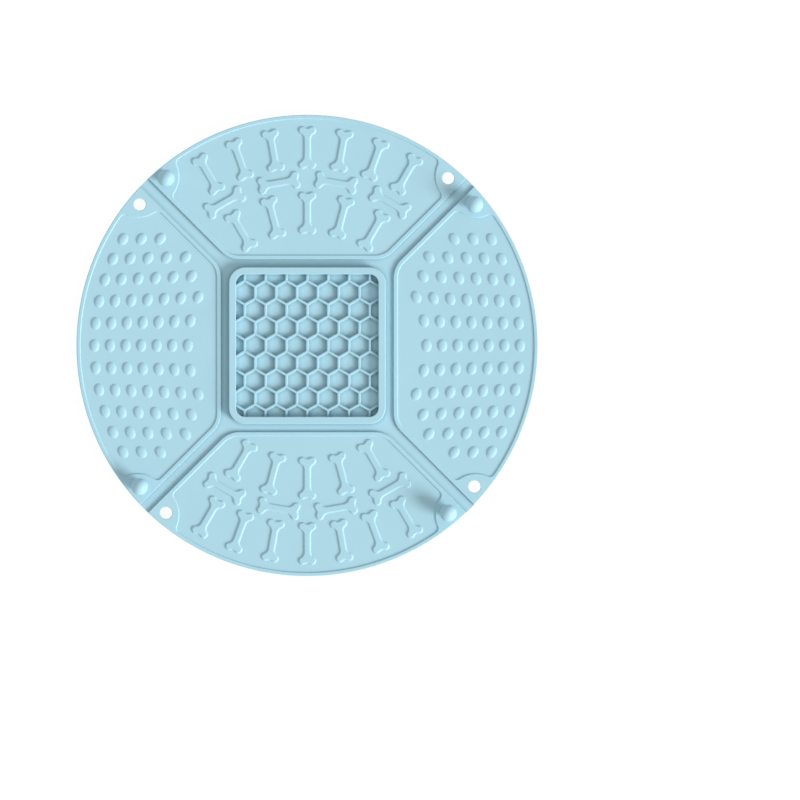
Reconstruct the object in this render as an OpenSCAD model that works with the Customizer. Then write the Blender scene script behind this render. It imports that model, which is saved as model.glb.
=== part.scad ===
// Foldable silicone lick mat. It lies flat as a round mat, or folds along its
// thin webs into a four-sided bowl whose corners are held by snap pegs.
// +X is east, +Y is north, +Z is up. The origin is under the middle of the tray,
// on the surface that the suction cups stand on. All lengths are millimetres.

/* [Mat] */
// Radius of the round mat
mat_r = 115; // [112:1:120]
// Thickness of the thin webs that act as hinges
web_t = 1.3; // [1:0.1:1.5]
// Height of the raised lips above the webs
lip_h = 1.3; // [1:0.1:1.5]
// Width of the lip along the rim
rim_lip_w = 2; // [1.6:0.1:2.4]
// Width of the lips along the fold lines
fold_lip_w = 2.2; // [1.8:0.1:2.6]
// Height of the sunken wall floors above the webs
floor_h = 0.7; // [0.5:0.1:0.9]
// Radius of the walls' inner corners
wall_corner_r = 13; // [10:0.5:14]

/* [Tray] */
// Half of the tray's outer width
tray_half = 39; // [37:0.5:41]
// Radius of the tray's outer corners
tray_corner_r = 8; // [7:0.5:9]
// Width of the raised frame around the tray
frame_w = 3.5; // [3:0.1:4]
// Height of the frame above the tray's floor
frame_h = 4; // [3.4:0.1:5]
// Radius of the frame's upper edges
frame_edge_r = 0.6; // [0.4:0.1:1]

/* [Honeycomb] */
// Distance between neighbouring cells in a row
cell_pitch = 10.4; // [9.8:0.1:11.4]
// Distance between neighbouring rows of cells
cell_row_pitch = 8.8; // [8.4:0.1:9.6]
// Thickness of the ridges between the cells
ridge_w = 1.1; // [0.8:0.1:1.4]
// Height of the ridges above the tray's floor
ridge_h = 1.9; // [1.5:0.1:2.3]

/* [Fold lines] */
// Width of the channel between the tray and each wall
channel_w = 4; // [3.4:0.1:4.4]
// Width of the diagonal grooves between the walls
groove_w = 5.5; // [5:0.1:6]
// Angle that each wall is raised by in the bowl
fold_angle = 52; // [50:0.5:54]
// Gap between the two flaps of a closed corner
flap_gap = 0.9; // [0.6:0.1:1.2]

/* [Snaps] */
// Diameter of the snap holes
hole_d = 6; // [5.9:0.1:6.4]
// Diameter of the ball on each snap peg
ball_d = 8.5; // [8:0.1:9]
// Diameter of the peg's stem
stem_d = 5.8; // [5.2:0.1:6]
// Height of the ball's middle above the lip that the peg stands on
ball_up = 6.5; // [6.2:0.1:7]
// Distance from the middle of a hole or peg to the diagonal fold line
snap_side = 9.3; // [9:0.1:9.6]
// Distance from the middle of a hole or peg to the rim
snap_rim = 5.9; // [5.6:0.1:6.2]
// Radius of the arc that ends the raised lug of a hole or peg
lug_r = 14.5; // [14:0.1:15]
// Distance from the middle of that arc, which lies on the rim, to the diagonal fold line
lug_side = 4.3; // [4:0.1:4.6]
// Radius of the corners where a lug meets a lip
lug_corner_r = 2.5; // [2:0.1:3]
// Least gap between a hole and the crease of its flap
hole_gap = 1.5; // [1:0.1:2]

/* [Bones] */
// Length of an embossed bone
bone_l = 21.4; // [20:0.2:22.4]
// Half of the width of a bone's shaft
bone_shaft_half = 1.9; // [1.7:0.1:2.1]
// Radius of the four knobs of a bone
bone_knob_r = 2.1; // [1.9:0.1:2.3]
// Distance of a knob's middle from the bone's middle line
bone_knob_side = 2.4; // [2.2:0.1:2.6]
// Height of a bone above the wall's floor
bone_h = 0.7; // [0.5:0.1:0.9]
// Width of the slope around the top of a bone
bone_slope_w = 0.8; // [0.5:0.1:1]
// Distance from the rim to the middle of the outer ring of bones
bone_rim = 16.3; // [15.4:0.1:17]
// Distance between the rings of bones
bone_ring_pitch = 16.3; // [16:0.1:17]

/* [Nubs] */
// Width of a nub along its row
nub_l = 6.5; // [6:0.1:6.8]
// Width of a nub across its row
nub_w = 4.9; // [4.4:0.1:5.2]
// Height of a nub above the wall's floor
nub_h = 0.7; // [0.5:0.1:0.9]
// Distance from the rim to the middle of the outer row of nubs
nub_rim = 8.95; // [8.6:0.05:9.6]
// Distance between the rows of nubs
nub_row_pitch = 7.76; // [7.6:0.02:8]

/* [Suction cups] */
// Radius of a suction cup at its rim
cup_r = 19; // [17:0.5:19.4]
// Height of a suction cup
cup_h = 5; // [4.4:0.1:6]
// Radius of the neck that joins a cup to the tray
cup_neck_r = 7; // [6:0.5:8]
// Thickness of a cup's skirt
cup_skirt_t = 1.5; // [1.2:0.1:1.8]
// Width of the flat ring that a cup rests on
cup_rim_w = 1.2; // [0.8:0.1:1.6]

/* [Hidden] */
$fn = 96;

skin_color = [0.68, 0.85, 0.90];
cup_color = [0.45, 0.68, 0.80];
north = "north";
east = "east";
south = "south";
west = "west";
sides = [north, east, south, west];
quarter = 90;

// The split between parts that bend against each other, and the overrun of cuts
split = 0.1;
overrun = 1;

// Heights of the faces, from the cups' rims up
under_z = cup_h;
web_z = under_z + web_t;
floor_z = web_z + floor_h;
lip_z = web_z + lip_h;
frame_z = web_z + frame_h;

// The tray's straight side ends where its round corner starts
tray_side = tray_half - tray_corner_r;
wall_near = tray_half + channel_w;
pocket_near = wall_near + fold_lip_w;
groove_half = groove_w / 2;
hinge_far = tray_half + channel_w / 2;

// The crease between a wall and its flap lies on the wall's underside. It is set
// so that the raised walls bring the flaps of a corner face to face, flap_gap
// apart, on either side of the upright plane through the diagonal.
flap_off = web_t + lip_h + flap_gap / 2;
// A point at a distance along the north-east diagonal and to its north side
function on_diagonal(along, side) = [(along - side) / sqrt(2), (along + side) / sqrt(2)];
snap_reach = mat_r - snap_rim;
snap_along = sqrt(pow(snap_reach, 2) - pow(snap_side, 2));
snap_at = on_diagonal(snap_along, snap_side);

// The crease turns away from the wall's middle line by an angle that follows from
// the fold. On a mat with short walls it turns less, and they fold further, so that
// the flaps stay wide enough for their holes.
hole_reach = snap_at - [hinge_far + web_t - sqrt(2) * flap_off, hinge_far];
most_turn = acos((hole_d / 2 + hole_gap) / norm(hole_reach)) - atan2(hole_reach[1], hole_reach[0]);
crease_slope = tan(min(atan(cos(fold_angle)), most_turn));
crease_start = hinge_far + web_t * sin(acos(crease_slope)) - sqrt(2) * flap_off;
function crease_x(y) = crease_start + (y - hinge_far) * crease_slope;
crease_stretch = norm([1, crease_slope]);

// Round stretches of an outline are drawn in flat steps
corner_steps = 8;
rim_steps = 14;
function arc(middle, r, from, to, steps) =
    [for (i = [0:steps])
        let (a = from + (to - from) * i / steps)
        middle + r * [cos(a), sin(a)]];
function angle_of(p) = atan2(p[1], p[0]);
function backwards(list) = [for (i = [len(list) - 1:-1:0]) list[i]];
function both_sides(half) = concat(half, [for (p = backwards(half)) [-p[0], p[1]]]);

// Turns a piece that is drawn at the north to another side
module turned(side) {
    rotate([0, 0, -quarter * search([side], sides)[0]]) children();
}

// The round inner corner at the east end of a wall, inset from the wall's edges
function inner_corner(inset) =
    let (near = wall_near + inset, r = wall_corner_r - inset)
    let (half = near - sqrt(2) * (groove_half + inset))
    arc([half - r * tan(quarter / 4), near + r], r, -quarter, -quarter / 2, corner_steps);

// The plan of one wall with its flaps
module wall_plan(inset, rim) {
    corner = inner_corner(inset);
    end = corner[corner_steps];
    run = mat_r - rim;
    intersection() {
        circle(r = run);
        polygon(both_sides(concat(corner, [end + [run, run]])));
    }
}

// The sunken part of a wall, scalloped round the lugs at its outer corners. Its
// outline runs up the east end: the inner corner, the corner before the lug, the
// lug, the corner after it, and the rim up to the middle.
module pocket_plan() {
    side = groove_half + fold_lip_w;
    rim_r = mat_r - rim_lip_w;
    lug = on_diagonal(sqrt(pow(mat_r, 2) - pow(lug_side, 2)), lug_side);
    reach = lug_r + lug_corner_r;
    before_side = side + lug_corner_r;
    before_along = sqrt(pow(mat_r, 2) - pow(lug_side, 2))
        - sqrt(pow(reach, 2) - pow(lug_side - before_side, 2));
    before = on_diagonal(before_along, before_side);
    after_r = rim_r - lug_corner_r;
    after_along = (pow(mat_r, 2) + pow(after_r, 2) - pow(reach, 2)) / (2 * mat_r);
    after_across = sqrt(pow(after_r, 2) - pow(after_along, 2));
    outwards = lug / mat_r;
    after = outwards * after_along + [-outwards[1], outwards[0]] * after_across;
    into_lug = angle_of(lug - before);
    out_of_lug = angle_of(lug - after);
    polygon(both_sides(concat(
        inner_corner(fold_lip_w),
        arc(before, lug_corner_r, -quarter / 2, into_lug, corner_steps),
        arc(lug, lug_r, into_lug + 2 * quarter, out_of_lug + 2 * quarter, corner_steps),
        arc(after, lug_corner_r, out_of_lug, angle_of(after), corner_steps),
        arc([0, 0], rim_r, angle_of(after), quarter, rim_steps)
    )));
}

// The whole wall at the north, with both of its flaps and the snap hole
module whole_wall() {
    difference() {
        translate([0, 0, under_z]) linear_extrude(lip_z - under_z) wall_plan(0, 0);
        translate([0, 0, floor_z]) linear_extrude(lip_h + overrun) pocket_plan();
        translate([snap_at[0], snap_at[1], under_z - overrun])
            cylinder(d = hole_d, h = lip_z - under_z + 2 * overrun);
    }
}

// All that lies past the crease at the wall's east end
module past_crease(shift) {
    far = mat_r + overrun;
    step = shift * crease_stretch;
    translate([0, 0, under_z - overrun])
        linear_extrude(lip_z - under_z + 2 * overrun)
            polygon([[crease_x(0) + step, 0], [far, 0], [far, far], [crease_x(far) + step, far]]);
}

module wall(side) {
    color(skin_color)
        turned(side)
            difference() {
                whole_wall();
                past_crease(-split / 2);
                mirror([1, 0, 0]) past_crease(-split / 2);
            }
}

module hole_flap(side) {
    color(skin_color)
        turned(side)
            intersection() {
                whole_wall();
                past_crease(split / 2);
            }
}

module peg_flap(side) {
    color(skin_color)
        turned(side)
            intersection() {
                whole_wall();
                mirror([1, 0, 0]) past_crease(split / 2);
            }
}

// A ball on a short stem with a flared foot, moulded on the lug of a peg flap
module snap_peg(side) {
    foot_r = stem_d / 2 + peg_foot;
    color(skin_color)
        turned(side)
            translate([-snap_at[0], snap_at[1], lip_z])
                rotate_extrude() {
                    intersection() {
                        translate([0, ball_up]) circle(d = ball_d);
                        square([ball_d, ball_up + ball_d]);
                    }
                    square([stem_d / 2, ball_up]);
                    difference() {
                        square([foot_r, peg_foot]);
                        translate([foot_r, peg_foot]) circle(r = peg_foot);
                    }
                }
}

// The flare at the foot of a peg
peg_foot = 0.6;

// The channel floor between the tray and one wall
module hinge_web(side) {
    color(skin_color)
        turned(side)
            translate([-tray_side, tray_half, under_z])
                cube([2 * tray_side, channel_w - split, web_t]);
}

// The floor of the groove between two walls, with the corner of the channel
module corner_web(side) {
    start = tray_side + split;
    color(skin_color)
        turned(side)
            translate([0, 0, under_z])
                linear_extrude(web_t)
                    difference() {
                        intersection() {
                            circle(r = mat_r);
                            translate([start, start]) square(mat_r);
                        }
                        rounded_square(tray_half + split, tray_corner_r + split);
                        wall_plan(-split, -overrun);
                        rotate(-quarter) wall_plan(-split, -overrun);
                    }
}

module rounded_square(half, r) {
    flat = half - r;
    square([2 * half, 2 * flat], center = true);
    square([2 * flat, 2 * half], center = true);
    for (x = [-flat, flat], y = [-flat, flat])
        translate([x, y]) circle(r = r);
}

// The section of the tray's frame, measured from its inner face
module frame_section() {
    high = frame_z - under_z;
    low_edge = high - frame_edge_r;
    square([frame_w, low_edge]);
    translate([frame_edge_r, 0]) square([frame_w - 2 * frame_edge_r, high]);
    for (x = [frame_edge_r, frame_w - frame_edge_r])
        translate([x, low_edge]) circle(r = frame_edge_r);
}

module center_tray() {
    inner = tray_half - frame_w;
    frame_middle = frame_w / 2;
    color(skin_color)
        translate([0, 0, under_z]) {
            linear_extrude(web_t)
                rounded_square(tray_half - frame_middle, tray_corner_r - frame_middle);
            for (side = sides)
                turned(side) {
                    translate([tray_side, 0, 0])
                        rotate([quarter, 0, -quarter])
                            linear_extrude(2 * tray_side)
                                translate([inner, 0]) frame_section();
                    translate([tray_side, tray_side, 0])
                        rotate_extrude(angle = quarter)
                            translate([tray_corner_r - frame_w, 0]) frame_section();
                }
        }
}

// One cell: a pointed hexagon that leaves half a ridge free on every side
module cell() {
    rise = cell_row_pitch / 3;
    half = cell_pitch / 2;
    side_x = half - ridge_w / 2;
    tip_y = 2 * rise - ridge_w / 2 * norm([half, rise]) / half;
    side_y = tip_y - side_x * rise / half;
    polygon([
        [0, tip_y], [side_x, side_y], [side_x, -side_y],
        [0, -tip_y], [-side_x, -side_y], [-side_x, side_y]
    ]);
}

module honeycomb() {
    inner = tray_half - frame_w;
    rows = ceil(inner / cell_row_pitch);
    columns = ceil(inner / cell_pitch);
    color(skin_color)
        translate([0, 0, web_z])
            linear_extrude(ridge_h)
                difference() {
                    rounded_square(inner, tray_corner_r - frame_w);
                    for (row = [-rows:rows], column = [-columns - 1:columns]) {
                        shift = row % 2 == 0 ? 1 / 2 : 1;
                        translate([(column + shift) * cell_pitch, row * cell_row_pitch]) cell();
                    }
                }
}

// Whether a piece at a turn from the wall's middle lies clear inside the pocket.
// It reaches half_across to its sides and half_out towards the rim.
function reach_to(turn, across, out, half_across, half_out) =
    norm([half_across * (across * cos(turn) - out * sin(turn)),
          half_out * (across * sin(turn) + out * cos(turn))]);
function is_clear(r, turn, half_across, half_out) =
    let (x = r * sin(abs(turn)), y = r * cos(turn))
    let (crease_gap = (crease_x(y) - x) / crease_stretch)
    let (to_crease = reach_to(abs(turn), 1 / crease_stretch, -crease_slope / crease_stretch,
                              half_across, half_out))
    let (to_tray = reach_to(abs(turn), 0, -1, half_across, half_out))
    crease_gap > to_crease + piece_gap && y - pocket_near > to_tray + piece_gap;
piece_gap = 0.3;

// The outline of a bone, clockwise from its upper notch, less an inset. One
// quarter is drawn, from the notch round a knob to the neck, and mirrored.
bone_knob_steps = 4;
bone_notch_share = 0.93;
bone_neck_share = 0.4;
knob_start = 125;
knob_end = -50;
function bone_notch_y(inset) = bone_l / 2 * bone_notch_share - inset;
function bone_quarter(inset) =
    let (knob_y = bone_l / 2 - bone_knob_r, r = bone_knob_r - inset)
    concat(
        [for (i = [0:bone_knob_steps])
            let (a = knob_start + (knob_end - knob_start) * i / bone_knob_steps)
            [bone_knob_side + r * cos(a), knob_y + r * sin(a)]],
        [[bone_shaft_half - inset, bone_l / 2 * bone_neck_share]]
    );
function bone_outline(inset) =
    let (points = bone_quarter(inset))
    concat(
        [[0, bone_notch_y(inset)]], points,
        [for (p = backwards(points)) [p[0], -p[1]]],
        [[0, -bone_notch_y(inset)]],
        [for (p = points) [-p[0], -p[1]]],
        [for (p = backwards(points)) [-p[0], p[1]]]
    );

// The pieces of that outline whose first corner sees all the others: a fan for
// each knob and the shaft between the notches
function bone_tiles() =
    let (m = bone_knob_steps + 2, low = 2 * m + 1)
    [
        [for (i = [0:m]) i],
        concat([low], [for (i = [m + 1:2 * m]) i]),
        [for (i = [low:low + m]) i],
        concat([0], [for (i = [low + m + 1:low + 2 * m]) i]),
        [0, m, m + 1, low, low + m, low + m + 1]
    ];

// A closed skin over outlines that lie on each other, drawn clockwise. The tiles
// fill an outline.
module stacked(layers, heights, tiles) {
    n = len(layers[0]);
    top = len(layers) - 1;
    points = [for (k = [0:top], p = layers[k]) [p[0], p[1], heights[k]]];
    sides = [for (k = [0:top - 1], i = [0:n - 1])
        [k * n + i, k * n + (i + 1) % n, (k + 1) * n + (i + 1) % n, (k + 1) * n + i]];
    base_faces = [for (tile = tiles) concat([tile[0]],
        [for (i = [len(tile) - 1:-1:1]) tile[i]])];
    top_faces = [for (tile = tiles) [for (i = tile) top * n + i]];
    polyhedron(points, concat(sides, base_faces, top_faces), convexity = 4);
}

module bone() {
    stacked([bone_outline(0), bone_outline(bone_slope_w)], [0, bone_h], bone_tiles());
}

// Three rings of bones: the outer and inner ones point to the rim, and the
// middle one lies along it
bone_rings = [
    [0, [-30, -20, -10, 0, 10, 20, 30], 0],
    [1, [-30, -10, 10, 30], quarter],
    [2, [-30, -15, 0, 15, 30], 0]
];

module bones(side) {
    half_w = bone_knob_side + bone_knob_r;
    color(skin_color)
        turned(side)
            for (ring = bone_rings, turn = ring[1]) {
                r = mat_r - bone_rim - bone_ring_pitch * ring[0];
                lies = ring[2] != 0;
                if (is_clear(r, turn, lies ? bone_l / 2 : half_w, lies ? half_w : bone_l / 2))
                    rotate([0, 0, -turn])
                        translate([0, r, floor_z])
                            rotate([0, 0, ring[2]]) bone();
            }
}

// A flat oval dome. The shares are of its half widths and of its height.
nub_sides = 10;
nub_layer_shares = [[1, 0], [0.82, 0.6], [0.42, 0.93]];
function oval(share) =
    [for (i = [0:nub_sides - 1])
        [nub_l / 2 * share * cos(-360 * i / nub_sides), nub_w / 2 * share * sin(-360 * i / nub_sides)]];

module nub() {
    layers = [for (s = nub_layer_shares) oval(s[0])];
    heights = [for (s = nub_layer_shares) nub_h * s[1]];
    stacked(layers, heights, [[for (i = [0:nub_sides - 1]) i]]);
}

// Seven rows of nubs on arcs about the mat's middle, with ever fewer to a turn
nub_rows = 7;
nubs_round_rim = 60;
nubs_fewer = 5;

module nubs(side) {
    color(skin_color)
        turned(side)
            for (row = [0:nub_rows - 1]) {
                r = mat_r - nub_rim - row * nub_row_pitch;
                step = 360 / (nubs_round_rim - nubs_fewer * row);
                most = floor(quarter / 2 / step);
                for (i = [-most:most])
                    if (is_clear(r, i * step, nub_l / 2, nub_w / 2))
                        rotate([0, 0, -i * step]) translate([0, r, floor_z]) nub();
            }
}

// A low round cup with a hollow underside, joined to the tray by its neck
module suction_cup(side) {
    color(cup_color)
        turned(side)
            translate([cup_r + cup_space, cup_r + cup_space, 0])
                rotate_extrude()
                    polygon([
                        [0, cup_h], [cup_neck_r, cup_h],
                        [cup_neck_r, cup_h - cup_neck_h],
                        [cup_r - cup_bevel, cup_skirt_t],
                        [cup_r, cup_edge_h], [cup_r, 0],
                        [cup_r - cup_rim_w, 0],
                        [cup_neck_r, cup_h - cup_neck_h - cup_skirt_t],
                        [0, cup_h - cup_neck_h - cup_skirt_t]
                    ]);
}

// Half of the space between two cups, and the sizes of a cup's shoulder and edge
cup_space = 1;
cup_neck_h = 1;
cup_bevel = 1;
cup_edge_h = 0.7;

center_tray();
honeycomb();
suction_cup(north);  // suction_cup_ne
suction_cup(east);  // suction_cup_se
suction_cup(south);  // suction_cup_sw
suction_cup(west);  // suction_cup_nw
hinge_web(north);  // hinge_web_north
hinge_web(east);  // hinge_web_east
hinge_web(south);  // hinge_web_south
hinge_web(west);  // hinge_web_west
wall(north);  // wall_north
wall(east);  // wall_east
wall(south);  // wall_south
wall(west);  // wall_west
bones(north);  // bones_north
bones(south);  // bones_south
nubs(east);  // nubs_east
nubs(west);  // nubs_west
hole_flap(north);  // hole_flap_north
hole_flap(east);  // hole_flap_east
hole_flap(south);  // hole_flap_south
hole_flap(west);  // hole_flap_west
peg_flap(north);  // peg_flap_north
peg_flap(east);  // peg_flap_east
peg_flap(south);  // peg_flap_south
peg_flap(west);  // peg_flap_west
snap_peg(north);  // snap_peg_north
snap_peg(east);  // snap_peg_east
snap_peg(south);  // snap_peg_south
snap_peg(west);  // snap_peg_west
corner_web(north);  // corner_web_ne
corner_web(east);  // corner_web_se
corner_web(south);  // corner_web_sw
corner_web(west);  // corner_web_nw
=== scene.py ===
import math

import bmesh
import bpy
import numpy as np
from mathutils import Matrix, Vector
from mathutils.geometry import delaunay_2d_cdt


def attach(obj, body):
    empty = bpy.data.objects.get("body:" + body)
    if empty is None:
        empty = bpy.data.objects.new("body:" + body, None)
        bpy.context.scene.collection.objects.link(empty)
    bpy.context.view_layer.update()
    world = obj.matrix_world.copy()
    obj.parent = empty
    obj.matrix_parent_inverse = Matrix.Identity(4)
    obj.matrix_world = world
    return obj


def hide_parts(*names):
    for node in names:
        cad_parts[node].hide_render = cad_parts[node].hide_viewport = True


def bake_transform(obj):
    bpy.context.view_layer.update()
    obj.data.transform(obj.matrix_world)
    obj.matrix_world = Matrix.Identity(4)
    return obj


# Lengths are written in millimetres and turned to metres when a mesh is made.
# +X is east, +Y is north, and a side or corner n is the north one turned n
# quarters clockwise.
mm = 0.001
sides = ["north", "east", "south", "west"]
corners = ["ne", "se", "sw", "nw"]

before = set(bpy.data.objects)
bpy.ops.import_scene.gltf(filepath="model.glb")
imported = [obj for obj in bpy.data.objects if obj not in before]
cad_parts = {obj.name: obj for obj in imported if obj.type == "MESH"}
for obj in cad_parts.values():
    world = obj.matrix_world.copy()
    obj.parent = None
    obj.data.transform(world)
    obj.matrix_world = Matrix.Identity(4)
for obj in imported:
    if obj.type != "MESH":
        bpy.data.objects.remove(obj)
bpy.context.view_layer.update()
print("frame loaded")

# Camera: straight down on the mat, which lies up and to the left of the middle
view = {"aimX": 46.26, "aimY": -27.13, "aimZ": 7, "width": 398.8, "lens": 800, "sensor": 36}
cameraData = bpy.data.cameras.new("camera")
cameraData.lens = view["lens"]
cameraData.sensor_width = view["sensor"]
cameraData.clip_start = 0.1
cameraData.clip_end = 50
cameraData.dof.use_dof = False
camera = bpy.data.objects.new("camera", cameraData)
camera.location = (view["aimX"] * mm, view["aimY"] * mm,
                   view["width"] * mm * view["lens"] / view["sensor"] + view["aimZ"] * mm)
bpy.context.scene.collection.objects.link(camera)
bpy.context.scene.camera = camera
bpy.context.scene.view_settings.view_transform = "Standard"
print("camera placed")


# A shader tree. Every node comes from node(), and add() makes sockets that can
# be used in sums.
class Graph:
    def __init__(self, tree):
        self.tree = tree
        tree.nodes.clear()

    def node(self, kind, settings=None, inputs=None):
        made = self.tree.nodes.new(kind)
        for name, value in (settings or {}).items():
            setattr(made, name, value)
        for name, value in (inputs or {}).items():
            socket = made.inputs[name]
            if isinstance(value, Value):
                self.tree.links.new(value.socket, socket)
            else:
                socket.default_value = value
        return made

    def value(self, kind, settings=None, inputs=None, output=0):
        return Value(self, self.node(kind, settings, inputs).outputs[output])


class Value:
    def __init__(self, graph, socket):
        self.graph = graph
        self.socket = socket

    def combine(self, operation, first, second):
        return self.graph.value("ShaderNodeMath", {"operation": operation}, {0: first, 1: second})

    def __add__(self, other):
        return self.combine("ADD", self, other)

    def __radd__(self, other):
        return self.combine("ADD", other, self)

    def __sub__(self, other):
        return self.combine("SUBTRACT", self, other)

    def __rsub__(self, other):
        return self.combine("SUBTRACT", other, self)

    def __mul__(self, other):
        return self.combine("MULTIPLY", self, other)

    def __rmul__(self, other):
        return self.combine("MULTIPLY", other, self)


def linear(red, green, blue):
    shades = [c / 255 for c in (red, green, blue)]
    return tuple(c / 12.92 if c <= 0.04045 else ((c + 0.055) / 1.055) ** 2.4 for c in shades) + (1,)


# Soft matt silicone: a nearly even colour, faint mottling, a very fine grain, and painted shade that darkens
# the colour in narrow corners
silicone = {"mottleScale": 55.0, "grainScale": 2600.0, "mottleGloss": 0.06, "grainGloss": 0.05,
            "grainDepth": 0.0001, "shadeReach": 2.2 * mm}


def siliconeMaterial(name, look):
    material = bpy.data.materials.new(name)
    material.use_nodes = True
    graph = Graph(material.node_tree)
    place = graph.value("ShaderNodeTexCoord", output="Object")
    mottle = graph.value("ShaderNodeTexNoise", inputs={
        "Vector": place, "Scale": silicone["mottleScale"], "Detail": 3.0})
    grain = graph.value("ShaderNodeTexNoise", inputs={
        "Vector": place, "Scale": silicone["grainScale"], "Detail": 2.0})
    colour = graph.value("ShaderNodeMix", {"data_type": "RGBA"},
                         {0: mottle, 6: linear(*look["dark"]), 7: linear(*look["light"])}, 2)
    # Painted shade: where nearby surfaces close in, the colour is mixed towards a dark shade colour
    openness = graph.value("ShaderNodeAmbientOcclusion", {"samples": 4},
                           {"Distance": silicone["shadeReach"]}, 1)
    colour = graph.value("ShaderNodeMix", {"data_type": "RGBA"},
                         {0: look["shade"] * (1 - openness), 6: colour, 7: linear(*look["paintedShadeColour"])}, 2)
    bump = graph.value("ShaderNodeBump", inputs={
        "Strength": 0.08, "Distance": silicone["grainDepth"], "Height": grain})
    roughness = (look["roughness"] + silicone["mottleGloss"] * (mottle - 0.5)
                 + silicone["grainGloss"] * (grain - 0.5))
    shader = graph.value("ShaderNodeBsdfPrincipled", inputs={
        "Base Color": colour, "Roughness": roughness, "IOR": 1.41, "Specular IOR Level": 0.35,
        "Normal": bump})
    graph.node("ShaderNodeOutputMaterial", inputs={"Surface": shader})
    return material


# The dark shade colours and the shade amounts are painted shade; the tray, honeycomb and floors use a copy
# with much more painted shade than the walls
paleBlue = {"dark": (169, 210, 224), "light": (175, 216, 230), "paintedShadeColour": (96, 118, 124), "roughness": 0.55}
matSilicone = siliconeMaterial("matSilicone", {**paleBlue, "shade": 0.2})
traySilicone = siliconeMaterial("traySilicone", {**paleBlue, "shade": 0.75})
deepBlue = {"dark": (128, 180, 206), "light": (138, 190, 214), "paintedShadeColour": (70, 100, 116), "roughness": 0.42}
cupSilicone = siliconeMaterial("cupSilicone", {**deepBlue, "shade": 0.3})
print("materials made")

# Stage: a white floor that keeps a light shadow, a low key light from the lower
# right and an even white fill
stage = {"sunTurn": -28.5, "sunRise": 26, "sunStrength": 3.25, "sunAngle": 26, "fill": 0.586,
         "floorHalf": 3.0, "floorShade": 0.13, "floorGlow": 0.93}
turn, rise = math.radians(stage["sunTurn"]), math.radians(stage["sunRise"])
sunData = bpy.data.lights.new("key", "SUN")
sunData.energy = stage["sunStrength"]
sunData.angle = math.radians(stage["sunAngle"])
sun = bpy.data.objects.new("key", sunData)
towardsSun = Vector((math.cos(rise) * math.cos(turn), math.cos(rise) * math.sin(turn), math.sin(rise)))
sun.rotation_euler = towardsSun.to_track_quat("Z", "Y").to_euler()
sun.location = towardsSun
bpy.context.scene.collection.objects.link(sun)

world = bpy.data.worlds.new("studio")
world.use_nodes = True
bpy.context.scene.world = world
graph = Graph(world.node_tree)
seen = graph.value("ShaderNodeLightPath", output="Is Camera Ray")
around = graph.value("ShaderNodeBackground", inputs={"Color": (1, 1, 1, 1), "Strength": stage["fill"]})
behind = graph.value("ShaderNodeBackground", inputs={"Color": (1, 1, 1, 1), "Strength": 1.0})
graph.node("ShaderNodeOutputWorld", inputs={
    "Surface": graph.value("ShaderNodeMixShader", inputs={0: seen, 1: around, 2: behind})})

floorMaterial = bpy.data.materials.new("floorWhite")
floorMaterial.use_nodes = True
graph = Graph(floorMaterial.node_tree)
seen = graph.value("ShaderNodeLightPath", output="Is Camera Ray")
plain = graph.value("ShaderNodeBsdfDiffuse", inputs={"Color": (0.8, 0.8, 0.8, 1)})
dim = graph.value("ShaderNodeBsdfDiffuse", inputs={"Color": (*[stage["floorShade"]] * 3, 1)})
glow = graph.value("ShaderNodeEmission", inputs={"Color": (1, 1, 1, 1), "Strength": stage["floorGlow"]})
graph.node("ShaderNodeOutputMaterial", inputs={"Surface": graph.value("ShaderNodeMixShader", inputs={
    0: seen, 1: plain, 2: graph.value("ShaderNodeAddShader", inputs={0: dim, 1: glow})})})
floorMesh = bpy.data.meshes.new("floor")
half = stage["floorHalf"]
floorMesh.from_pydata([(-half, -half, 0), (half, -half, 0), (half, half, 0), (-half, half, 0)],
                      [], [(0, 1, 2, 3)])
floorMesh.materials.append(floorMaterial)
floor = bpy.data.objects.new("floor", floorMesh)
bpy.context.scene.collection.objects.link(floor)
print("stage set")


# Outlines are arrays of points, anticlockwise seen from above
def arc(middle, r, start, end, steps):
    a = np.radians(np.linspace(start, end, steps + 1))
    return np.asarray(middle, float) + r * np.stack([np.cos(a), np.sin(a)], 1)


def circle(middle, r, steps):
    return arc(middle, r, 0, 360 - 360 / steps, steps - 1)


def join(*parts):
    points = np.concatenate([np.reshape(p, (-1, 2)) for p in parts])
    gap = np.linalg.norm(points - np.roll(points, 1, 0), axis=1)
    return points[gap > 1e-4]


def bothSides(half):
    return join(half, half[::-1] * [-1, 1])


def angleOf(p):
    return math.degrees(math.atan2(p[1], p[0]))


# A point at a distance along the north-east diagonal and to its north side
def onDiagonal(along, side):
    return np.array([along - side, along + side]) / math.sqrt(2)


def acrossDiagonal(points):
    return np.array([onDiagonal(along, side) for along, side in points])


# The outline moved inwards by a distance, or outwards by a negative one
def inset(loop, distance):
    ahead = np.roll(loop, -1, 0) - loop
    ahead /= np.linalg.norm(ahead, axis=1)[:, None]
    left = np.stack([-ahead[:, 1], ahead[:, 0]], 1)
    both = left + np.roll(left, 1, 0)
    return loop + distance * both * (2 / (both ** 2).sum(1))[:, None]


def isInside(points, loop):
    x, y = points[:, :1], points[:, 1:]
    a, b = loop, np.roll(loop, -1, 0)
    crosses = (a[:, 1] > y) != (b[:, 1] > y)
    rise = np.where(a[:, 1] == b[:, 1], 1, b[:, 1] - a[:, 1])
    at = a[:, 0] + (y - a[:, 1]) * (b[:, 0] - a[:, 0]) / rise
    return (crosses & (x < at)).sum(1) % 2 == 1


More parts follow.
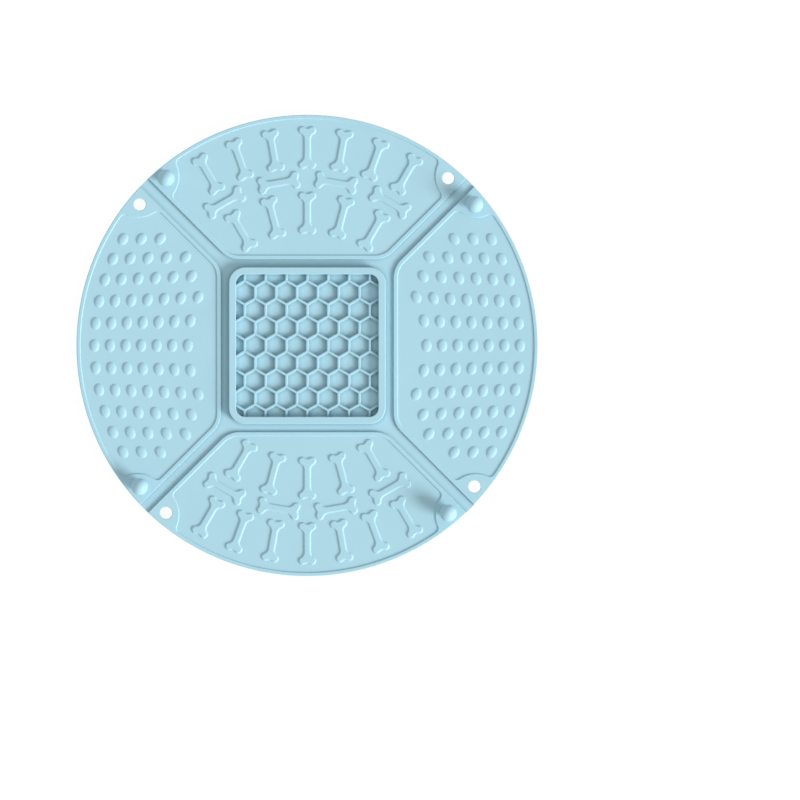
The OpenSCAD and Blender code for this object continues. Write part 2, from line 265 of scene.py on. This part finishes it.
# A skin that is built of rings of points. A profile is a list of insets from an
# outline and heights.
class Skin:
    def __init__(self):
        self.points = []
        self.faces = []

    def ring(self, loop, z):
        first = len(self.points)
        self.points += [(x, y, z) for x, y in loop]
        return list(range(first, first + len(loop)))

    def band(self, low, high):
        n = len(low)
        for i in range(n):
            j = (i + 1) % n
            self.faces.append((low[i], low[j], high[j], high[i]))

    def climb(self, loop, profile):
        rings = [self.ring(inset(loop, d), z) for d, z in profile]
        for low, high in zip(rings, rings[1:]):
            self.band(low, high)
        return rings[0], rings[-1]

    def fill(self, outer, holes=(), down=False):
        rings = [outer, *holes]
        loops = [np.array([self.points[i][:2] for i in ring]) for ring in rings]
        ids = [i for ring in rings for i in ring]
        edges, first = [], 0
        for ring in rings:
            n = len(ring)
            edges += [(first + i, first + (i + 1) % n) for i in range(n)]
            first += n
        flat = np.concatenate(loops)
        found = delaunay_2d_cdt([Vector(p) for p in flat], edges, [], 0, 1e-7, True)
        if len(found[0]) != len(flat):
            raise ValueError("an outline crosses itself")
        source = [origin[0] for origin in found[3]]
        triangles = np.array([[source[i] for i in face] for face in found[2]])
        middles = flat[triangles].mean(1)
        kept = isInside(middles, loops[0])
        for loop in loops[1:]:
            kept &= ~isInside(middles, loop)
        for triangle in triangles[kept]:
            face = [ids[i] for i in triangle]
            self.faces.append(tuple(face[::-1] if down else face))

    # A plate with upright edges
    def slab(self, loop, bottom, top):
        low, high = self.climb(loop, [(0, bottom), (0, top)])
        self.fill(high)
        self.fill(low, down=True)

    def mesh(self, name):
        made = bpy.data.meshes.new(name)
        made.from_pydata([(x * mm, y * mm, z * mm) for x, y, z in self.points], [], self.faces)
        return made


# A rounded edge of a profile: part of a turn about its middle
def roundEdge(middle, r, start, end, steps=5):
    return [tuple(p) for p in arc(middle, r, start, end, steps)]


# Cuts a mesh along an upright plane, and takes away what lies past it, unless
# clear is off: then the cut only adds a line of edges, along which it can bend
def cut(mesh, point, ahead, clear=True):
    shape = bmesh.new()
    shape.from_mesh(mesh)
    bmesh.ops.bisect_plane(
        shape, geom=shape.verts[:] + shape.edges[:] + shape.faces[:], dist=1e-8,
        plane_co=(point[0] * mm, point[1] * mm, 0), plane_no=(ahead[0], ahead[1], 0), clear_outer=clear)
    shape.to_mesh(mesh)
    shape.free()


def turned(mesh, side):
    made = mesh.copy()
    made.transform(Matrix.Rotation(math.radians(-90 * side), 4, "Z"))
    return made


def turnedPoint(x, y, z, side):
    for _ in range(side):
        x, y = y, -x
    return (x * mm, y * mm, z * mm)


def piece(name, mesh, material=matSilicone, sharp=35):
    mesh.polygons.foreach_set("use_smooth", [True] * len(mesh.polygons))
    mesh.set_sharp_from_angle(angle=math.radians(sharp))
    mesh.materials.clear()
    mesh.materials.append(material)
    thing = bpy.data.objects.new(name, mesh)
    bpy.context.scene.collection.objects.link(thing)
    return thing


def lathe(name, profile, steps):
    skin = Skin()
    rings = [skin.ring(circle((0, 0), r, steps) if r > 1e-6 else [(0, 0)], z) for r, z in profile]
    for low, high in zip(rings, rings[1:]):
        if len(low) > 1 and len(high) > 1:
            skin.band(low, high)
        elif len(low) > 1:
            skin.faces += [(low[i], low[(i + 1) % steps], high[0]) for i in range(steps)]
        else:
            skin.faces += [(high[(i + 1) % steps], high[i], low[0]) for i in range(steps)]
    return skin.mesh(name)


# Geometry Nodes: copies of a piece at points, each turned about Z
scatter = bpy.data.node_groups.new("scatter", "GeometryNodeTree")
scatter.interface.new_socket("Points", in_out="INPUT", socket_type="NodeSocketGeometry")
scatterPiece = scatter.interface.new_socket("Piece", in_out="INPUT", socket_type="NodeSocketObject")
scatterFinish = scatter.interface.new_socket("Finish", in_out="INPUT", socket_type="NodeSocketMaterial")
scatter.interface.new_socket("Copies", in_out="OUTPUT", socket_type="NodeSocketGeometry")
graph = Graph(scatter)
given = graph.node("NodeGroupInput")
info = graph.node("GeometryNodeObjectInfo")
around = graph.value("GeometryNodeInputNamedAttribute", {"data_type": "FLOAT"}, {"Name": "turn"})
spin = graph.value("ShaderNodeCombineXYZ", inputs={"Z": around})
copies = graph.node("GeometryNodeInstanceOnPoints", inputs={"Rotation": spin})
real = graph.node("GeometryNodeRealizeInstances")
finish = graph.node("GeometryNodeSetMaterial")
result = graph.node("NodeGroupOutput")
for start, end in [(given.outputs["Points"], copies.inputs["Points"]),
                   (given.outputs["Piece"], info.inputs["Object"]),
                   (given.outputs["Finish"], finish.inputs["Material"]),
                   (info.outputs["Geometry"], copies.inputs["Instance"]),
                   (copies.outputs["Instances"], real.inputs["Geometry"]),
                   (real.outputs["Geometry"], finish.inputs["Geometry"]),
                   (finish.outputs["Geometry"], result.inputs["Copies"])]:
    scatter.links.new(start, end)


def scattered(name, mesh, places, material=matSilicone):
    source = bpy.data.objects.new(name + "Source", mesh)
    host = bpy.data.meshes.new(name + "Points")
    host.from_pydata([(x * mm, y * mm, z * mm) for x, y, z, _ in places], [], [])
    host.attributes.new("turn", "FLOAT", "POINT").data.foreach_set(
        "value", [math.radians(a) for *_, a in places])
    carrier = bpy.data.objects.new(name + "Carrier", host)
    for thing in (source, carrier):
        bpy.context.scene.collection.objects.link(thing)
    modifier = carrier.modifiers.new("scatter", "NODES")
    modifier.node_group = scatter
    modifier[scatterPiece.identifier] = source
    modifier[scatterFinish.identifier] = material
    bpy.context.view_layer.update()
    view = carrier.evaluated_get(bpy.context.evaluated_depsgraph_get())
    made = bpy.data.meshes.new_from_object(view)
    made.name = name
    for thing in (carrier, source):
        bpy.data.objects.remove(thing)
    return made


# Sizes that several pieces share, as in the frame
size = {
    "under": 5.0, "web": 6.3, "pocket": 7.0, "lip": 7.6, "top": 10.3,  # heights of the faces
    "mat": 115, "near": 43, "hinge": 41,  # from the middle to the rim, to a wall and to its fold line
    "grooveHalf": 2.75, "foldLip": 2.2, "rimLip": 2.0, "cornerR": 13,
    "fold": 52,  # degrees
    "flapOff": 3.05}  # from a folded flap's underside to the middle of its corner

# Tray: a floor inside a flat-topped frame
tray = {"half": 39, "corner": 8, "frame": 3.5, "edge": 0.35, "flare": 0.2, "flareUp": 0.3, "foot": 0.3,
        "flat": 0.08, "sunk": 0.02}
tray["side"] = tray["half"] - tray["corner"]
trayLoop = join(*[arc(np.array(p) * tray["side"], tray["corner"], a, a + 90, 14)
                  for p, a in (((1, -1), -90), ((1, 1), 0), ((-1, 1), 90), ((-1, -1), 180))])
flare, edge, width, foot = (tray[k] for k in ("flare", "edge", "frame", "foot"))
trayProfile = [(0, size["under"]), (0, size["web"] - tray["flareUp"]), (-flare, size["web"] - tray["sunk"])]
trayProfile += roundEdge((-flare, size["web"] + flare), flare, -90, 0)
trayProfile += roundEdge((edge, size["top"] - edge), edge, 180, 90)
trayProfile += [(edge + tray["flat"], size["top"]), (width - edge - tray["flat"], size["top"])]
trayProfile += roundEdge((width - edge, size["top"] - edge), edge, 90, 0)
trayProfile += roundEdge((width + foot, size["web"] + foot), foot, 180, 270)
trayProfile += [(width + foot + 0.1, size["web"])]
skin = Skin()
low, high = skin.climb(trayLoop, trayProfile)
skin.fill(high)
skin.fill(low, down=True)
trayPiece = piece("tray", skin.mesh("tray"), traySilicone)
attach(trayPiece, "base")
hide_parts("center_tray")
print("tray made")

# Honeycomb: pointed cells whose ridges share their middle line, cut off inside
# the frame
comb = {"pitch": 10.4, "rowPitch": 8.8, "high": 1.9, "within": 43, "cornerR": 6.3}
cellSide, cellTip = comb["pitch"] / 2, 2 * comb["rowPitch"] / 3
cellPoints = np.array([(0, -cellTip), (cellSide, -cellTip / 2), (cellSide, cellTip / 2), (0, cellTip),
                       (-cellSide, cellTip / 2), (-cellSide, -cellTip / 2)])


# A cell's outline, inset by a distance, with its six corners rounded
def cellLoop(d, r):
    middles = inset(cellPoints, d + r)
    return np.concatenate([arc(m, r, -120 + 60 * k, -60 + 60 * k, 4) for k, m in enumerate(middles)])


# Inset from the middle of a ridge, height, radius of the cell's corners
ridge = comb["high"]
cellProfile = [(0, ridge, 0.01), (0.34, ridge, 0.05), (0.44, ridge - 0.03, 0.08), (0.52, ridge - 0.11, 0.12),
               (0.57, ridge - 0.28, 0.15), (0.62, ridge * 0.4, 0.2), (0.66, 0.16, 0.3), (0.74, 0.04, 0.4),
               (0.86, -0.02, 0.5)]
skin = Skin()
rings = [skin.ring(cellLoop(d, r), z) for d, z, r in cellProfile]
for low, high in zip(rings, rings[1:]):
    skin.band(low, high)
cells = []
for row in range(-5, 6):
    shift = 0.5 if row % 2 == 0 else 1
    for column in range(-6, 6):
        x, y = (column + shift) * comb["pitch"], row * comb["rowPitch"]
        if max(abs(x), abs(y)) < comb["within"]:
            cells.append((x, y, size["web"], 0))
combMesh = scattered("honeycomb", skin.mesh("cell"), cells, traySilicone)
for a in np.radians(np.concatenate([np.linspace(-45, 45, 7) + 90 * k for k in range(4)])):
    ahead = np.array([math.cos(a), math.sin(a)])
    cut(combMesh, np.sign(np.round(ahead, 6)) * tray["side"] + ahead * comb["cornerR"], ahead)
honeycomb = piece("honeycomb", combMesh, traySilicone)
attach(honeycomb, "base")
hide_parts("honeycomb")
print("honeycomb made")

# Suction cups
cup = {"middle": 20, "steps": 72}
cupProfile = [(0, 2.5), (6.2, 2.5), (7.0, 2.42), (9, 2.05), (12, 1.38), (15, 0.66), (17.4, 0.1), (17.8, 0.0),
              (18.4, 0.0), (18.8, 0.08), (19.0, 0.3), (18.95, 0.62), (18.6, 0.95), (18.0, 1.3), (15.5, 1.98),
              (12, 2.88), (9, 3.6), (7.5, 3.96), (7.1, 4.2), (7.0, 4.5), (7.0, 5.0), (0, 5.0)]
cupPlaces = [(x * cup["middle"], y * cup["middle"], 0, 0) for x, y in ((1, 1), (1, -1), (-1, -1), (-1, 1))]
cupMesh = scattered("suctionCups", lathe("cup", cupProfile, cup["steps"]), cupPlaces, cupSilicone)
cups = piece("suctionCups", cupMesh, cupSilicone, 50)
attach(cups, "base")
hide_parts(*["suction_cup_" + c for c in corners])
print("suction cups made")

# Channel floors: they lie between the tray and a wall, with lines of edges across them where they would bend,
# and end on the diagonal where the groove floor starts. Hidden tabs reach into the groove floors, to keep the
# corners closed when they are folded.
channel = {"end": 56.75, "hidden": 0.05, "tabFrom": 55.2, "tabTo": 59.4, "tongueFrom": 54.9,
           "bendFrom": 0.4, "bendTo": 0.1, "bends": 10}
near, cornerR, channelEnd = size["near"], size["cornerR"], channel["end"]
cornerX = near - math.sqrt(2) * size["grooveHalf"] - cornerR * math.tan(math.radians(22.5))
cornerAt = np.array([cornerX, near + cornerR])
cornerAlong = (near + cornerR + cornerX) / math.sqrt(2)
cornerAside = (near + cornerR - cornerX) / math.sqrt(2)
endSide = cornerAside - math.sqrt(cornerR ** 2 - (cornerAlong - channelEnd) ** 2)
channelHalf = join(arc((tray["side"], tray["side"]), tray["corner"], 90, 45, 8), onDiagonal(channelEnd, 0),
                   arc(cornerAt, cornerR, angleOf(onDiagonal(channelEnd, endSide) - cornerAt), -90, 4))
tabHalf = acrossDiagonal([
    (channel["tabFrom"], 0), (channel["tabTo"], 0), (channel["tabTo"], 0.5), (channel["tabTo"] - 1.2, 1.1),
    (channelEnd, 1.6), (channel["tabFrom"], 1.6)])
skin = Skin()
skin.slab(bothSides(channelHalf), size["under"], size["web"])
for tab in (tabHalf, tabHalf[::-1] * [-1, 1]):
    skin.slab(tab, size["under"] + channel["hidden"], size["web"] - channel["hidden"])
channelMesh = skin.mesh("channel")
for y in np.linspace(tray["half"] + channel["bendFrom"], near - channel["bendTo"], channel["bends"]):
    cut(channelMesh, (0, y), (0, 1), clear=False)
for n, name in enumerate(sides):
    channelFloor = piece("channelFloor." + name, turned(channelMesh, n), traySilicone)
    turnedPoint(0, tray["half"], size["web"], n)
    turnedPoint(0, near, size["web"], n)
    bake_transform(channelFloor)
    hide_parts("hinge_web_" + name)
print("channel floors made")


# Walls: a rounded lip round a sunken pocket, scalloped round the lugs
def innerCorner(d):
    r = size["cornerR"] - d
    y = size["near"] + d
    half = y - math.sqrt(2) * (size["grooveHalf"] + d)
    return arc((half - r * math.tan(math.radians(22.5)), y + r), r, -90, -45, 16)


rimCorner = onDiagonal(math.sqrt(size["mat"] ** 2 - size["grooveHalf"] ** 2), size["grooveHalf"])
wallLoop = bothSides(join(innerCorner(0), arc((0, 0), size["mat"], angleOf(rimCorner), 90, 40)))

snap = {"rim": 5.9, "side": 9.3, "hole": 3.0, "holeSteps": 48, "lug": 14.5, "lugSide": 4.3, "corner": 2.5}
snapReach = size["mat"] - snap["rim"]
snapAt = onDiagonal(math.sqrt(snapReach ** 2 - snap["side"] ** 2), snap["side"])
lugAlong = math.sqrt(size["mat"] ** 2 - snap["lugSide"] ** 2)
lugAt = onDiagonal(lugAlong, snap["lugSide"])
# Small arcs before and after each lug join its scallop to the pocket's edges
lugReach = snap["lug"] + snap["corner"]
beforeSide = size["grooveHalf"] + size["foldLip"] + snap["corner"]
before = onDiagonal(lugAlong - math.sqrt(lugReach ** 2 - (snap["lugSide"] - beforeSide) ** 2), beforeSide)
pocketRim = size["mat"] - size["rimLip"]
afterR = pocketRim - snap["corner"]
afterAlong = (size["mat"] ** 2 + afterR ** 2 - lugReach ** 2) / (2 * size["mat"])
outwards = lugAt / size["mat"]
leftwards = np.array([-outwards[1], outwards[0]])
after = outwards * afterAlong + leftwards * math.sqrt(afterR ** 2 - afterAlong ** 2)
intoLug, outOfLug = angleOf(lugAt - before), angleOf(lugAt - after)
pocketLoop = bothSides(join(
    innerCorner(size["foldLip"]),
    arc(before, snap["corner"], -45, intoLug, 10),
    arc(lugAt, snap["lug"], intoLug + 180, outOfLug + 180, 30),
    arc(after, snap["corner"], outOfLug, angleOf(after), 10),
    arc((0, 0), pocketRim, angleOf(after), 90, 32)))

# The lip: its outer edge, the slope down to the pocket (which starts a little
# back from the pocket's outline) and the edges of the hole
lip = {"draft": 0.02, "edge": 0.38, "slope": 0.25, "back": 0.3, "pocketEdge": 0.15, "hole": 0.3, "under": 0.2,
       "flat": 0.05}
top, flat = size["lip"], lip["flat"]
edge, draft = lip["edge"], lip["draft"]
outerProfile = ([(0, size["under"]), (0, size["web"])] + roundEdge((draft + edge, top - edge), edge, 165, 90)
                + [(draft + edge + flat, top)])
edge, start = lip["pocketEdge"], -lip["back"]
foot = start + lip["slope"] + edge
pocketProfile = ([(start - edge - flat, top)] + roundEdge((start - edge, top - edge), edge, 90, 30)
                 + roundEdge((foot, size["pocket"] + edge), edge, 210, 270) + [(foot + flat, size["pocket"])])
edge, under = lip["hole"], lip["under"]
holeProfile = ([(-edge - flat, top)] + roundEdge((-edge, top - edge), edge, 90, 0)
               + roundEdge((-under, size["under"] + under), under, 0, -90, 3))
skin = Skin()
low, high = skin.climb(wallLoop, outerProfile)
lipRing, floorRing = skin.climb(pocketLoop, pocketProfile)
holeRing, holeLow = skin.climb(circle(snapAt, snap["hole"], snap["holeSteps"]), holeProfile)
skin.fill(high, [lipRing, holeRing])
skin.fill(floorRing)
skin.fill(low, [holeLow], down=True)
wholeWall = skin.mesh("wall")

# The crease of each wall end: a line over the wall, and a strip with lines of edges along which it could bend
slope = math.cos(math.radians(size["fold"]))
creaseStart = (size["hinge"] + (size["web"] - size["under"]) * math.sin(math.radians(size["fold"]))
               - math.sqrt(2) * size["flapOff"])
stretch = math.hypot(1, slope)
crease = {"y": 70, "from": -1.2, "to": 2.2, "bends": 10}
acrossCrease = np.array([1, -slope]) / stretch


def creaseAt(y, shift):
    return np.array([creaseStart + (y - size["hinge"]) * slope, y]) + acrossCrease * shift


mirrorX = np.array([-1, 1])
middleMesh = wholeWall.copy()
for flip in (1, mirrorX):
    cut(middleMesh, creaseAt(crease["y"], crease["from"]) * flip, acrossCrease * flip)
flapMeshes = []
for flip in (1, mirrorX):
    flap = wholeWall.copy()
    cut(flap, creaseAt(crease["y"], crease["from"]) * flip, -acrossCrease * flip)
    for shift in np.linspace(crease["from"], crease["to"], crease["bends"])[1:]:
        cut(flap, creaseAt(crease["y"], shift) * flip, acrossCrease * flip, clear=False)
    flapMeshes.append(flap)
for n, name in enumerate(sides):
    wall = piece("wall." + name, turned(middleMesh, n))
    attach(wall, "wall_" + name)
    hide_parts("wall_" + name)
    for kind, mesh, flip in (("hole", flapMeshes[0], 1), ("peg", flapMeshes[1], mirrorX)):
        flap = piece(kind + "Flap." + name, turned(mesh, n))
        start, end = (creaseAt(crease["y"], crease[k]) * flip for k in ("from", "to"))
        kind + "_flap_" + name
        turnedPoint(*start, size["under"], n)
        turnedPoint(*end, size["under"], n)
        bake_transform(flap)
        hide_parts(kind + "_flap_" + name)
print("walls made")

# Groove floors: strips between the flaps of a corner, with lines of edges along which they could fold shut. A
# hidden tongue in the channel's corner is meant to keep the fold closed at its inner end.
groove = {"bends": 14, "blendAlong": 80}
grooveEnd = (channelEnd - cornerAlong, endSide - cornerAside)
grooveEdge = arc((cornerAlong, cornerAside), cornerR, angleOf(grooveEnd), -90, 10)
rimAngle = math.degrees(math.asin(size["grooveHalf"] / size["mat"]))
grooveHalfLoop = np.concatenate([grooveEdge, arc((0, 0), size["mat"], rimAngle, 0, 2)])
tongueHalf = np.array([(channel["tongueFrom"], 0.35), (channel["tongueFrom"] + 1.1, 0.5), (channelEnd, 0.85),
                       (channelEnd + 0.4, 0.9)]) * [1, endSide]
skin = Skin()
skin.slab(acrossDiagonal(join(grooveHalfLoop * [1, -1], grooveHalfLoop[::-1])), size["under"], size["web"])
skin.slab(acrossDiagonal([*tongueHalf * [1, -1], *tongueHalf[::-1]]),
          size["under"] + channel["hidden"], size["web"] - channel["hidden"])
grooveMesh = skin.mesh("groove")
for side in np.linspace(-size["grooveHalf"], size["grooveHalf"], groove["bends"])[1:-1]:
    cut(grooveMesh, onDiagonal(0, side), onDiagonal(0, 1), clear=False)
for n, name in enumerate(corners):
    grooveFloor = piece("grooveFloor." + name, turned(grooveMesh, n), traySilicone)
    turnedPoint(*onDiagonal(groove["blendAlong"], size["grooveHalf"]), size["web"], n)
    turnedPoint(*onDiagonal(groove["blendAlong"], -size["grooveHalf"]), size["web"], n)
    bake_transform(grooveFloor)
    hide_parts("corner_web_" + name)
print("groove floors made")


# A piece that would cross the crease, or stand on a lip, is left out
clearance = 0.3


def isClear(radius, angle, halfAcross, halfOut):
    a = math.radians(abs(angle))
    x, y = radius * math.sin(a), radius * math.cos(a)

    def reachTo(across, out):
        return math.hypot(halfAcross * (across * math.cos(a) - out * math.sin(a)),
                          halfOut * (across * math.sin(a) + out * math.cos(a)))
    gap = (creaseStart + (y - size["hinge"]) * slope - x) / stretch
    return (gap > reachTo(1 / stretch, -slope / stretch) + clearance
            and y - size["near"] - size["foldLip"] > reachTo(0, -1) + clearance)


# Bones: a quarter is an arc at the end's notch, one at the knob and one at the
# neck. A row holds its number from the rim, its angles and how the bones lie.
bone = {"long": 21.4, "shaft": 1.9, "knob": 2.1, "side": 2.4, "high": 0.7, "notch": 0.93, "neck": 0.4,
        "rim": 16.3, "rowPitch": 16.3}
halfLong, knobR = bone["long"] / 2, bone["knob"]
knobY, notchY, neckY = halfLong - knobR, halfLong * bone["notch"], halfLong * bone["neck"]
pastKnob, pastShaft = notchY - knobY, bone["side"] - bone["shaft"]
notchR = (bone["side"] ** 2 + pastKnob ** 2 - knobR ** 2) / (2 * (knobR - pastKnob))
neckR = (pastShaft ** 2 + (knobY - neckY) ** 2 - knobR ** 2) / (2 * (knobR + pastShaft))
knobAt = np.array([bone["side"], knobY])
notchAt, neckAt = np.array([0, notchY + notchR]), np.array([bone["shaft"] + neckR, neckY])
intoKnob, outOfKnob = angleOf(knobAt - notchAt), angleOf(neckAt - knobAt)
boneQuarter = join(arc(notchAt, notchR, -90, intoKnob, 6), arc(knobAt, knobR, intoKnob + 180, outOfKnob, 16),
                   arc(neckAt, neckR, outOfKnob + 180, 180, 8))
boneRight = join(boneQuarter, boneQuarter[::-1] * [1, -1])
boneLoop = join(boneRight, boneRight[::-1] * [-1, 1])[::-1]
boneProfile = [(-0.15, -0.03), (-0.04, 0.03), (0.08, 0.14), (0.2, 0.34), (0.34, 0.6), (0.5, 0.81),
               (0.66, 0.93), (0.82, 0.99), (0.94, 1.0), (0.98, 1.0)]
skin = Skin()
low, high = skin.climb(boneLoop, [(d, z * bone["high"]) for d, z in boneProfile])
skin.fill(high)
boneMesh = skin.mesh("bone")
halfWide = bone["side"] + knobR
boneRows = [(0, [-30, -20, -10, 0, 10, 20, 30], 0), (1, [-30, -10, 10, 30], 90),
            (2, [-30, -15, 0, 15, 30], 0)]
bonePlaces = []
for row, angles, lie in boneRows:
    radius = size["mat"] - bone["rim"] - bone["rowPitch"] * row
    for angle in angles:
        spread = (halfLong, halfWide) if lie else (halfWide, halfLong)
        if isClear(radius, angle, *spread):
            a = math.radians(angle)
            bonePlaces.append((radius * math.sin(a), radius * math.cos(a), size["pocket"], lie - angle))
bonesMesh = scattered("bones", boneMesh, bonePlaces)
for n in (0, 2):
    bones = piece("bones." + sides[n], turned(bonesMesh, n), sharp=60)
    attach(bones, "wall_" + sides[n])
    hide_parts("bones_" + sides[n])
print("bones made")

# Nubs: domed ovals in rows, with fewer in each row away from the rim
nub = {"long": 6.5, "wide": 4.9, "high": 0.8, "rim": 8.95, "rowPitch": 7.76, "rows": 7, "atRim": 60,
       "fewer": 5, "steps": 32}
nubProfile = [(1.04, -0.03), (0.99, 0.08), (0.93, 0.24), (0.85, 0.42), (0.75, 0.6), (0.62, 0.76),
              (0.48, 0.88), (0.32, 0.95), (0.16, 0.99), (0, 1)]
nubMesh = lathe("nub", [(share, z * nub["high"]) for share, z in nubProfile], nub["steps"])
nubMesh.transform(Matrix.Diagonal((nub["long"] / 2, nub["wide"] / 2, 1, 1)))
nubPlaces = []
for row in range(nub["rows"]):
    radius = size["mat"] - nub["rim"] - row * nub["rowPitch"]
    step = 360 / (nub["atRim"] - nub["fewer"] * row)
    most = math.floor(45 / step)
    for i in range(-most, most + 1):
        if isClear(radius, i * step, nub["long"] / 2, nub["wide"] / 2):
            a = math.radians(i * step)
            nubPlaces.append((radius * math.sin(a), radius * math.cos(a), size["pocket"], -i * step))
nubsMesh = scattered("nubs", nubMesh, nubPlaces)
for n in (1, 3):
    nubs = piece("nubs." + sides[n], turned(nubsMesh, n), sharp=60)
    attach(nubs, "wall_" + sides[n])
    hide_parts("nubs_" + sides[n])
print("nubs made")

# Snap pegs: a ball on a stem with a flared foot
peg = {"ball": 4.25, "stem": 2.9, "up": 6.5, "foot": 0.8, "sunk": 0.02, "steps": 48}
meet = math.degrees(math.acos(peg["stem"] / peg["ball"]))
footR = peg["stem"] + peg["foot"]
pegProfile = [(footR, size["lip"] - peg["sunk"])]
pegProfile += roundEdge((footR, size["lip"] + peg["foot"]), peg["foot"], 270, 180)
pegProfile += roundEdge((0, size["lip"] + peg["up"]), peg["ball"], -meet, 90, 20)
pegProfile[-1] = (0, pegProfile[-1][1])
pegMesh = lathe("peg", pegProfile, peg["steps"])
pegMesh.transform(Matrix.Translation((-snapAt[0] * mm, snapAt[1] * mm, 0)))
for n, name in enumerate(sides):
    snapPeg = piece("snapPeg." + name, turned(pegMesh, n), sharp=60)
    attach(snapPeg, "peg_flap_" + name)
    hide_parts("snap_peg_" + name)
print("snap pegs made")
